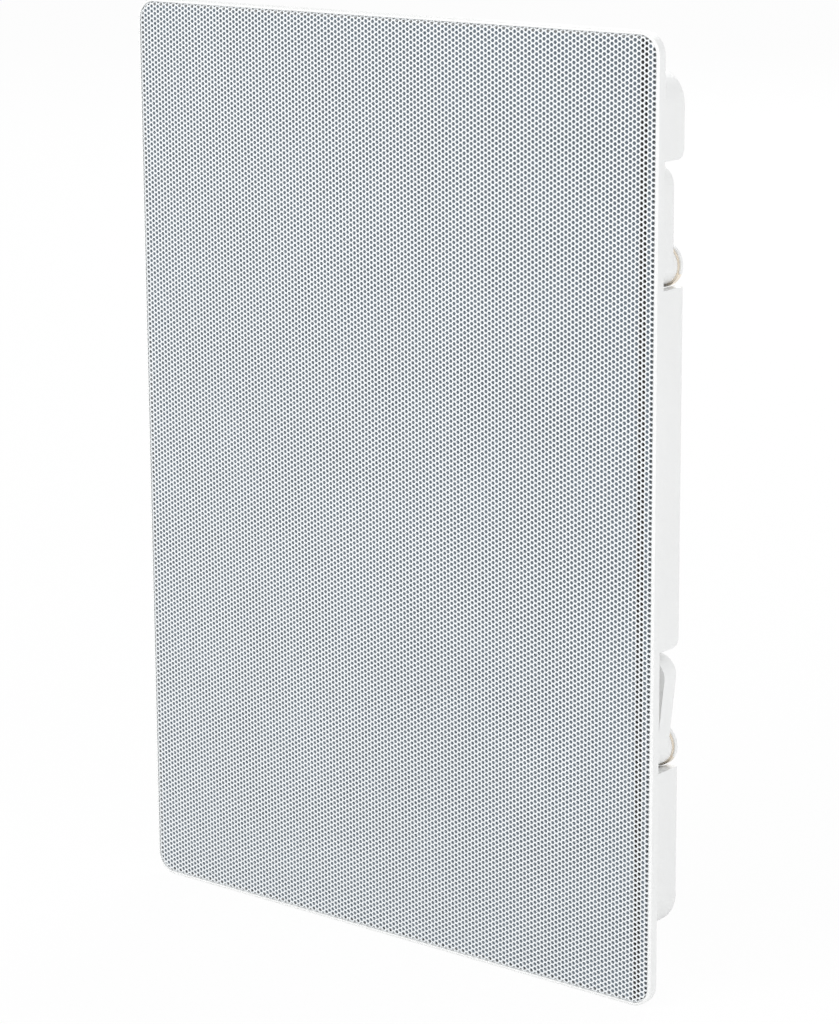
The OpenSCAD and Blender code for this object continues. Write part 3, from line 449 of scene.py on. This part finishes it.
def lattice_faces():
    """Flat lattice of six-sided holes: vertices in the plane and triangles between the holes.
    Columns run up the sheet and every second one is half a step higher."""
    dx = PITCH * math.sin(math.radians(60))
    half_w, half_h = GRILLE_W / 2 + 3, GRILLE_H / 2 + 3
    # Column 0 stands COLUMN_INSET inside the right edge and row 0 stands ROW_INSET under the top edge
    x0 = GRILLE_W / 2 - COLUMN_INSET
    z0 = GRILLE_H / 2 - ROW_INSET
    cols = np.arange(-3, int(2 * half_w / dx) + 1)
    rows = np.arange(-3, int(2 * half_h / PITCH) + 1)
    nc, nr = len(cols), len(rows)
    cx = x0 - cols * dx
    centre = np.zeros((nc, nr, 2))
    centre[:, :, 0] = cx[:, None]
    centre[:, :, 1] = z0 - rows[None, :] * PITCH - (cols[:, None] % 2) * PITCH / 2
    # A hole's corners point between its six neighbours, so its sides face them
    r = HOLE_D / 2 * math.sqrt(2 * math.pi / (3 * math.sqrt(3)))
    ang = np.radians(60 * np.arange(6))
    corner = np.stack([np.cos(ang) * HOLE_WIDE, np.sin(ang)], -1) * r
    verts = (centre[:, :, None, :] + corner[None, None]).reshape(-1, 2)

    def vid(i, j, k):
        return (i * nr + j) * 6 + k % 6
    tris = []
    ii, jj = np.meshgrid(np.arange(nc), np.arange(nr), indexing="ij")

    def shifted(i, j, which):
        """The neighbour's indices: up, and the two on the next column to the left (higher column number)."""
        odd = (cols[i] % 2) == 1
        if which == "up":
            return i, j - 1
        if which == "upleft":
            return i + 1, np.where(odd, j, j - 1)
        return i + 1, np.where(odd, j + 1, j)
    i, j = ii.ravel(), jj.ravel()

    def inside(a, b):
        return (a >= 0) & (a < nc) & (b >= 0) & (b < nr)
    up, ul, dl = shifted(i, np.clip(j, 0, nr), "up"), shifted(i, j, "upleft"), shifted(i, j, "downleft")
    # Strips between facing sides, with corner k at angle 60k:
    # up has corners 1 and 2, upper left 2 and 3, lower left 3 and 4
    for nb, k, m in ((up, 1, 4), (ul, 2, 5), (dl, 3, 0)):
        ok = inside(*nb)
        a, b = vid(i[ok], j[ok], k), vid(i[ok], j[ok], k + 1)
        c, d = vid(nb[0][ok], nb[1][ok], m), vid(nb[0][ok], nb[1][ok], m + 1)
        tris.append(np.stack([a, b, c], -1))
        tris.append(np.stack([a, c, d], -1))
    # Junctions where three holes meet
    ok = inside(*up) & inside(*ul)
    tris.append(np.stack([vid(i[ok], j[ok], 2), vid(ul[0][ok], ul[1][ok], 0),
                          vid(up[0][ok], up[1][ok], 4)], -1))
    ok = inside(*ul) & inside(*dl)
    tris.append(np.stack([vid(i[ok], j[ok], 3), vid(dl[0][ok], dl[1][ok], 1),
                          vid(ul[0][ok], ul[1][ok], 5)], -1))
    return verts, np.concatenate(tris)


def fold(points, inset):
    """Maps flat points onto the bent sheet at a depth inside its outer face."""
    w = GRILLE_W / 2 - BEND_R
    h = GRILLE_H / 2 - BEND_R
    r = GRILLE_R - BEND_R
    q = np.abs(points) - np.array([w - r, h - r])
    qp = np.maximum(q, 0)
    length = np.hypot(qp[:, 0], qp[:, 1])
    s = np.where((q > 0).any(1), length, np.maximum(q[:, 0], q[:, 1])) - r
    foot_dir = np.where(length[:, None] > 0, qp / np.maximum(length, 1e-9)[:, None], 0)
    foot_dir = foot_dir * np.sign(points)
    neutral = BEND_R - SHEET_T / 2
    arc = math.pi / 2 * neutral
    out = np.zeros((len(points), 3))
    flat = s <= 0
    ang = np.clip(s / neutral, 0, math.pi / 2)
    rad = BEND_R - inset
    reach = np.where(flat, 0, rad * np.sin(ang))
    base = points - foot_dir * np.maximum(s, 0)[:, None]
    out[:, 0] = base[:, 0] + foot_dir[:, 0] * reach
    out[:, 2] = base[:, 1] + foot_dir[:, 1] * reach
    out[:, 1] = np.where(flat, FRONT_Y + inset,
                         FRONT_Y + BEND_R - rad * np.cos(ang) + np.maximum(s - arc, 0))
    return out, s


def grille_pieces():
    pts, tris = lattice_faces()
    neutral = BEND_R - SHEET_T / 2
    limit = math.pi / 2 * neutral + EDGE_DEPTH - BEND_R
    _, s = fold(pts, 0.0)
    w, h, r = GRILLE_W / 2 - BEND_R, GRILLE_H / 2 - BEND_R, GRILLE_R - BEND_R
    q = np.maximum(np.abs(pts) - np.array([w - r, h - r]), 0)
    length = np.hypot(q[:, 0], q[:, 1])
    direction = np.where(length[:, None] > 0, q / np.maximum(length, 1e-9)[:, None], 0) * np.sign(pts)
    over = s > limit
    pts = pts - direction * np.where(over, s - limit, 0)[:, None]
    tris = tris[~over[tris].all(1)]
    e1, e2 = pts[tris[:, 1]] - pts[tris[:, 0]], pts[tris[:, 2]] - pts[tris[:, 0]]
    cross = e1[:, 0] * e2[:, 1] - e1[:, 1] * e2[:, 0]
    keep = np.abs(cross) > 1e-5
    tris, cross = tris[keep], cross[keep]
    tris = np.where((cross > 0)[:, None], tris, tris[:, ::-1])
    front, _ = fold(pts, 0.0)
    back, _ = fold(pts, SHEET_T)
    mid_z = pts[tris][:, :, 1].mean(1)
    cuts = np.quantile(mid_z, np.linspace(0, 1, 6))
    pieces = []
    for b in range(5):
        sel = tris[(mid_z >= cuts[b]) & ((mid_z < cuts[b + 1]) if b < 4 else (mid_z <= cuts[b + 1]))]
        used, inv = np.unique(sel, return_inverse=True)
        t = inv.reshape(sel.shape)
        n = len(used)
        edges = np.concatenate([t[:, [0, 1]], t[:, [1, 2]], t[:, [2, 0]]])
        key = np.sort(edges, 1)
        key = key[:, 0].astype(np.int64) * n + key[:, 1]
        _, first, count = np.unique(key, return_index=True, return_counts=True)
        rim = edges[first[count == 1]]
        verts = np.concatenate([front[used], back[used]]) * MM
        # Seen from the front, x right and z up, an anticlockwise triangle faces -Y
        quads = np.stack([rim[:, 1], rim[:, 0], rim[:, 0] + n, rim[:, 1] + n], -1)
        loops = np.concatenate([t.ravel(), (t[:, ::-1] + n).ravel(), quads.ravel()]).astype(np.int32)
        sizes = np.concatenate([np.full(2 * len(t), 3), np.full(len(quads), 4)])
        mesh = bpy.data.meshes.new(f"grille_sheet_{b + 1}")
        mesh.vertices.add(len(verts))
        mesh.vertices.foreach_set("co", verts.astype(np.float32).ravel())
        mesh.loops.add(len(loops))
        mesh.loops.foreach_set("vertex_index", loops)
        mesh.polygons.add(len(sizes))
        starts = np.concatenate([[0], np.cumsum(sizes)[:-1]]).astype(np.int32)
        mesh.polygons.foreach_set("loop_start", starts)
        mesh.polygons.foreach_set("loop_total", sizes.astype(np.int32))
        mesh.update(calc_edges=True)
        mesh.validate()
        mesh.materials.append(MATS["grille"])
        mesh.shade_flat()
        obj = bpy.data.objects.new(mesh.name, mesh)
        bpy.context.scene.collection.objects.link(obj)
        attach(obj, "grille")
        pieces.append(obj)
        print(mesh.name, "triangles:", 2 * len(t) + 2 * len(quads))
    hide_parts("grille")
    return pieces


grille_pieces()


def rounded_outline(w, h, r, steps=10):
    pts = []
    for sx, sz, a0 in ((1, 1, 0), (-1, 1, 90), (-1, -1, 180), (1, -1, 270)):
        for k in range(steps + 1):
            a = math.radians(a0 + 90 * k / steps)
            pts.append((sx * (w / 2 - r) + r * math.cos(a), sz * (h / 2 - r) + r * math.sin(a)))
    return pts


def scrim_piece():
    """The cloth bonded to the back of the grille."""
    w, h = SCRIM_W, SCRIM_H
    ring = rounded_outline(w, h, 4.0)
    n = len(ring)
    verts = [(x, SCRIM_Y[0] + 0.02, z) for x, z in ring] + [(x, SCRIM_Y[1] - 0.02, z) for x, z in ring]
    faces = [tuple(range(n)), tuple(range(2 * n - 1, n - 1, -1))]
    faces += [(i, (i + 1) % n, n + (i + 1) % n, n + i) for i in range(n)]
    obj = add_mesh("scrim_cloth", verts, faces, "scrim", "grille")
    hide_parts("scrim")
    return obj


scrim_piece()


# Soft parts of the drivers

def surround_piece():
    cone_r, flat, roll, t, base = 58.0, 3.0, 4.0, 0.6, -2.2
    mid = cone_r + roll
    outer = [(mid + roll * math.cos(math.radians(a)), base - roll * math.sin(math.radians(a)))
             for a in range(175, 4, -10)]
    inner = [(mid + (roll - t) * math.cos(math.radians(a)), base - (roll - t) * math.sin(math.radians(a)))
             for a in range(5, 176, 10)]
    profile = ([(cone_r - flat, base + 0.05), (cone_r - flat + 0.2, base - 0.25), (cone_r - 0.2, base - 0.25)]
               + outer
               + [(mid + roll + 0.4, base - t), (mid + roll + 1.6, base - t), (mid + roll + 1.6, base),
                  (mid + roll - t + 0.2, base)]
               + inner + [(cone_r + t, base), (cone_r + t - 0.1, base + t), (cone_r - flat, base + t)])
    verts, faces = lathe(profile, WOOFER_Z, 144)
    obj = add_mesh("surround_roll", verts, faces, "rubber", "speaker", 50)
    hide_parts("woofer_surround")


def spider_piece():
    inner, flat, outer = 13.5, 43.1, 50.9
    t, face = 0.5, 27.0
    n = 120
    top, bottom = [], []
    for i in range(n + 1):
        r = inner + (flat - inner) * i / n
        wave = math.sin(2 * math.pi * 5 * i / n) * (0.95 if i < n else 0)
        top.append((r, face - t - 1 - wave))
        bottom.append((r, face - 1 - wave))
    profile = top + [(flat + 0.8, face - t), (outer, face - t), (outer, face), (flat, face)] + bottom[::-1]
    verts, faces = lathe(profile, WOOFER_Z, 96)
    obj = add_mesh("spider_cloth_ring", verts, faces, "spider", "speaker", 60)
    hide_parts("woofer_spider")


def dome_piece():
    r0, h, seat, t = 12.5, 4.5, 3.0, 0.35
    ball = (r0 * r0 + h * h) / (2 * h)
    n = 24
    front = [(r0 * i / n, seat - h + ball - math.sqrt(ball * ball - (r0 * i / n) ** 2))
             for i in range(n + 1)]
    roll = [(r0 + 1 - math.cos(math.radians(a)), seat - 0.9 * math.sin(math.radians(a)))
            for a in range(20, 180, 20)]
    back = [(r0 + 1 - 0.65 * math.cos(math.radians(a)), seat + t - 0.9 * math.sin(math.radians(a)))
            for a in range(160, 0, -20)]
    rear = [(r, z + t) for r, z in front[::-1]]
    profile = (front + roll + [(r0 + 2, seat), (21.4, seat), (21.4, seat + t)] + [(r0 + 2, seat + t)] + back
               + [(r0 + 0.4, seat + t), (r0 + 0.4, seat + 4), (r0, seat + 4)] + rear[1:])
    verts, faces = lathe(profile, TWEETER_Z, 72)
    obj = add_mesh("dome_silk_cap", verts, faces, "dome", "speaker", 50)
    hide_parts("tweeter_dome")


def gasket_piece():
    inner, outer = 65.5, 73.5
    profile = [(inner, -0.95), (inner + 0.3, -1.0), (outer - 0.3, -1.0), (outer, -0.95), (outer, -0.05),
               (outer - 0.3, 0), (inner + 0.3, 0), (inner, -0.05)]
    verts, faces = lathe(profile, WOOFER_Z, 120)
    obj = add_mesh("gasket_ring", verts, faces, "foam", "speaker", 40)
    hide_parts("woofer_gasket")


surround_piece()
spider_piece()
dome_piece()
gasket_piece()


# Crossover parts

BOARD_Y, BOARD_Z = 18.6, 116.0


def choke_piece():
    """The coil, wound layer on layer in enamelled wire."""
    lo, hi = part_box("choke")
    x0, r_out, depth = (lo[0] + hi[0]) / 2 / MM, (hi[0] - lo[0]) / 2 / MM, (hi[1] - lo[1]) / MM
    r_in, wire = 5.5, 0.54
    rows = int(depth // (2 * wire))
    step = (depth - 2 * wire - 0.05) / (rows - 1)
    layers = int((r_out - r_in) // (2 * wire))
    side = (r_out - r_in - 2 * wire) / (layers - 1)
    profile = [(r_in + 0.3, 0.02), (r_out - 0.3, 0.02)]
    for i in range(rows):
        profile += [(r_out - wire + wire * math.cos(math.radians(a)),
                     wire + 0.02 + i * step + wire * math.sin(math.radians(a)))
                    for a in (-60, -20, 20, 60)]
    for i in range(layers):
        profile += [(r_out - wire - i * side + wire * math.cos(math.radians(a)),
                     depth - wire + wire * math.sin(math.radians(a)))
                    for a in (45, 90, 135)]
    for i in range(rows):
        profile += [(r_in + wire + wire * math.cos(math.radians(a)),
                     depth - wire - i * step + wire * math.sin(math.radians(a)))
                    for a in (120, 160, 200, 240)]
    verts, faces = lathe(profile, BOARD_Z, 56, x0, BOARD_Y)
    obj = add_mesh("choke_winding", verts, faces, "copper", "speaker", 30)
    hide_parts("choke")


def capacitor_piece():
    """Two film capacitors with epoxy ends, laid on the board."""
    lo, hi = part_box("capacitors")
    x0, length = lo[0] / MM, (hi[0] - lo[0]) / MM
    y0 = (lo[1] + hi[1]) / 2 / MM
    r = (hi[1] - lo[1]) / 2 / MM - 0.02
    profile = [(0, 1.2), (r - 1.4, 1.2), (r - 1.0, 0.4), (r - 0.5, 0.05), (r - 0.15, 0.35), (r, 1.0),
               (r, length - 1.0), (r - 0.15, length - 0.35), (r - 0.5, length - 0.05),
               (r - 1.0, length - 0.4), (r - 1.4, length - 1.2), (0, length - 1.2)]
    verts, faces = [], []
    for z in (lo[2] / MM + r + 0.02, hi[2] / MM - r - 0.02):
        v, f = lathe(profile, z, 48, x0, y0, "x")
        n = len(verts)
        verts += v
        faces += [tuple(i + n for i in face) for face in f]
    obj = add_mesh("film_capacitors", verts, faces, "film_cap", "speaker", 35)
    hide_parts("capacitors")


def tube(points, r, sides=10):
    """A round wire through points, with flat ends."""
    pts = [Vector(p) for p in points]
    n = len(pts)
    verts, faces = [], []
    side = None
    for i, p in enumerate(pts):
        t = (pts[min(i + 1, n - 1)] - pts[max(i - 1, 0)]).normalized()
        if side is None:
            side = t.orthogonal().normalized()
        side = (side - t * side.dot(t)).normalized()
        up = t.cross(side)
        for k in range(sides):
            a = 2 * math.pi * k / sides
            verts.append(tuple(p + (side * math.cos(a) + up * math.sin(a)) * r))
    for i in range(n - 1):
        for k in range(sides):
            m = (k + 1) % sides
            faces.append((i * sides + k, i * sides + m, (i + 1) * sides + m, (i + 1) * sides + k))
    faces.append(tuple(range(sides - 1, -1, -1)))
    faces.append(tuple(range((n - 1) * sides, n * sides)))
    return verts, faces


def joined(parts):
    """Several point and face lists as one."""
    verts, faces = [], []
    for v, f in parts:
        n = len(verts)
        verts += v
        faces += [tuple(i + n for i in face) for face in f]
    return verts, faces


def bead(x, y, z, r, h):
    """A solder joint: a low dome with a foot that runs out on the board."""
    profile = [(r * 1.25, 0.0), (r, h * 0.18), (r * 0.78, h * 0.5), (r * 0.45, h * 0.85), (0, h)]
    verts, faces = [], []
    n, m = 16, len(profile)
    for k in range(n):
        a = 2 * math.pi * k / n
        verts += [(x + q * math.cos(a), y + d, z + q * math.sin(a)) for q, d in profile]
    for k in range(n):
        j = (k + 1) % n
        for i in range(m - 1):
            faces.append((k * m + i, k * m + i + 1, j * m + i + 1, j * m + i))
    faces.append(tuple(k * m for k in range(n)))
    return verts, faces


def bent(a, b, c, r, steps=5):
    """Points of a wire from a towards c, with its corner at b rounded."""
    a, b, c = Vector(a), Vector(b), Vector(c)
    u, v = (a - b).normalized(), (c - b).normalized()
    shares = [k / steps for k in range(steps + 1)]
    return [a] + [b + u * r * (1 - t) ** 2 + v * r * t ** 2 for t in shares] + [c]


def component_legs():
    """The bare legs of the crossover parts, and the solder where wires meet the board and the tags."""
    y = BOARD_Y + 0.02
    legs, beads = [], []
    lo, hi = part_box("capacitors")
    x0, x1, r = lo[0] / MM, hi[0] / MM, (hi[1] - lo[1]) / 2 / MM
    for z in (lo[2] / MM + r, hi[2] / MM - r):
        for x, out in ((x0, -1), (x1, 1)):
            foot = x + out * 1.1
            legs.append(tube(bent((x - out * 1.3, y + r, z), (foot, y + r, z), (foot, y, z), 0.7), 0.35))
            beads.append(bead(foot, y, z, 1.0, 0.7))
    lo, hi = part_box("resistor")
    x, mid = (lo[0] + hi[0]) / 2 / MM, (lo[1] + hi[1]) / 2 / MM
    for z, out in ((lo[2] / MM, -1), (hi[2] / MM, 1)):
        foot = z + out * 2.4
        legs.append(tube(bent((x, mid, z - out * 0.5), (x, mid, foot), (x, y, foot), 0.9), 0.4))
        beads.append(bead(x, y, foot, 1.1, 0.8))
    lo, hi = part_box("choke")
    x, top = (lo[0] + hi[0]) / 2 / MM, hi[2] / MM
    coil_legs = []
    for dx in (-3.0, 3.0):
        route = bent((x + dx, y + 3.2, top - 1.6), (x + dx, y + 3.2, top + 1.3), (x + dx, y, top + 1.3), 0.9)
        coil_legs.append(tube(route, 0.45))
        beads.append(bead(x + dx, y, top + 1.3, 1.1, 0.8))
    for px in (22.7, 25.3, -12.9, -10.3):
        beads.append(bead(px, y, 101.0, 1.25, 1.0))
    verts, faces = joined(legs)
    obj = add_mesh("component_wires", verts, faces, "solder", "speaker", 40)
    verts, faces = joined(coil_legs)
    obj = add_mesh("choke_wires", verts, faces, "copper", "speaker", 40)
    for tx in (-4.0, 4.0):
        beads.append(bead(tx, 38.82, 1.4, 1.5, 1.3))
    for tx in (-3.25, 3.25):
        beads.append(bead(tx, 27.62, 88.5, 1.3, 1.1))
    verts, faces = joined(beads)
    obj = add_mesh("solder_joints", verts, faces, "solder", "speaker", 50)


def board_tracks():
    """Broad tracks under the solder mask of the board's rear face."""
    y0, y1 = BOARD_Y, BOARD_Y + 0.06
    runs = [((-12.9, 101), (-12.9, 104.5), (-1, 104.5), (1, 102), (22.7, 102)),
            ((1.0, 131.2), (-8, 131.2), (-11, 128), (-11, 110), (-14, 107)),
            ((7.0, 131.2), (48.1, 131.2), (48.1, 123.4)), ((17.9, 123), (17.9, 109)),
            ((48.1, 109.0), (50, 104), (54, 103.6)), ((54, 128.4), (52, 130.6), (48.1, 131.2)),
            ((25.3, 101), (28, 102.4), (50, 102.4), (54, 103.6))]
    parts = []
    for run in runs:
        for (ax, az), (bx, bz) in zip(run[:-1], run[1:]):
            d = Vector((bx - ax, bz - az)).normalized() * 0.9
            n = Vector((-d.y, d.x))
            corners = [(ax - d.x + n.x, az - d.y + n.y), (bx + d.x + n.x, bz + d.y + n.y),
                       (bx + d.x - n.x, bz + d.y - n.y), (ax - d.x - n.x, az - d.y - n.y)]
            v = [(x, y0, z) for x, z in corners] + [(x, y1, z) for x, z in corners]
            f = [(3, 2, 1, 0), (4, 5, 6, 7)] + [(i, (i + 1) % 4, (i + 1) % 4 + 4, i + 4) for i in range(4)]
            parts.append((v, f))
    verts, faces = joined(parts)
    obj = add_mesh("board_copper", verts, faces, "tracks", "speaker")


choke_piece()
capacitor_piece()
component_legs()
board_tracks()


# The clamp screws

def cross_head(r_flat, arm, half, y, depth, sides):
    """A flat round face with a cross-shaped recess: points, faces and the outer ring's indices."""
    ring = [(r_flat * math.cos(2 * math.pi * k / sides), r_flat * math.sin(2 * math.pi * k / sides))
            for k in range(sides)]
    cross = [(arm, -half), (arm, half), (half, half), (half, arm), (-half, arm), (-half, half), (-arm, half),
             (-arm, -half), (-half, -half), (-half, -arm), (half, -arm), (half, -half)]
    flat = [[Vector((a, b, 0)) for a, b in ring], [Vector((a, b, 0)) for a, b in cross]]
    tris = tessellate_polygon(flat)
    # A flat round face with a cross-shaped recess: points and faces, with the outer ring's points first.
    m = len(cross)
    verts = [(a, y, b) for a, b in ring + cross] + [(a * 0.7, y + depth, b * 0.7) for a, b in cross]
    faces = [tuple(t) for t in tris]
    faces += [(sides + i, sides + (i + 1) % m, sides + m + (i + 1) % m, sides + m + i) for i in range(m)]
    faces.append(tuple(range(sides + m, sides + 2 * m)))
    return verts, faces


def threaded_screw(number):
    """A pan head, a retaining collar and a cut thread down to the tip, inside the solid's own outline."""
    joint = next(j for j in frame["joints"] if j["name"] == f"swing_{number}")
    cx, cz = joint["pos_m"][0] / MM, joint["pos_m"][2] / MM
    sides, pitch, crest, root = 20, 1.4, 1.98, 1.64
    lo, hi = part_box(f"clamp_screw_{number}")
    head_y, tip_y = lo[1] / MM, hi[1] / MM
    verts, faces = cross_head(2.15, 1.9, 0.45, head_y + 0.02, 1.2, sides)
    rings = [(2.85, head_y + 0.14), (3.35, head_y + 0.5), (3.66, head_y + 1.0), (3.78, head_y + 1.45),
             (3.78, head_y + 2.0), (3.66, head_y + 2.18), (crest, head_y + 2.18), (crest, 3.27),
             (2.9, 3.27), (2.98, 3.35), (2.98, 3.95),
             (2.9, 4.03), (root, 4.05)]
    start, end = 4.2, tip_y - 0.9
    steps = int((end - start) / pitch * 8)
    for k in range(steps + 1):
        rings.append((None, start + (end - start) * k / steps))
    rings += [(root, tip_y - 0.8), (1.15, tip_y - 0.02)]
    previous = list(range(sides))
    for r, y in rings:
        base = len(verts)
        for k in range(sides):
            a = 2 * math.pi * k / sides
            q = r
            if q is None:
                phase = (y / pitch - k / sides) % 1
                q = root + (crest - root) * (1 - abs(2 * phase - 1))
            verts.append((q * math.cos(a), y, q * math.sin(a)))
        ring = list(range(base, base + sides))
        faces += [(previous[k], previous[(k + 1) % sides], ring[(k + 1) % sides], ring[k])
                  for k in range(sides)]
        previous = ring
    faces.append(tuple(previous))
    verts = [(x + cx, y, z + cz) for x, y, z in verts]
    obj = add_mesh(f"threaded_screw_{number}", verts, faces, "yellow_zinc", f"screw_{number}", 40)
    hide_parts(f"clamp_screw_{number}")


for i in range(1, 5):
    threaded_screw(i)
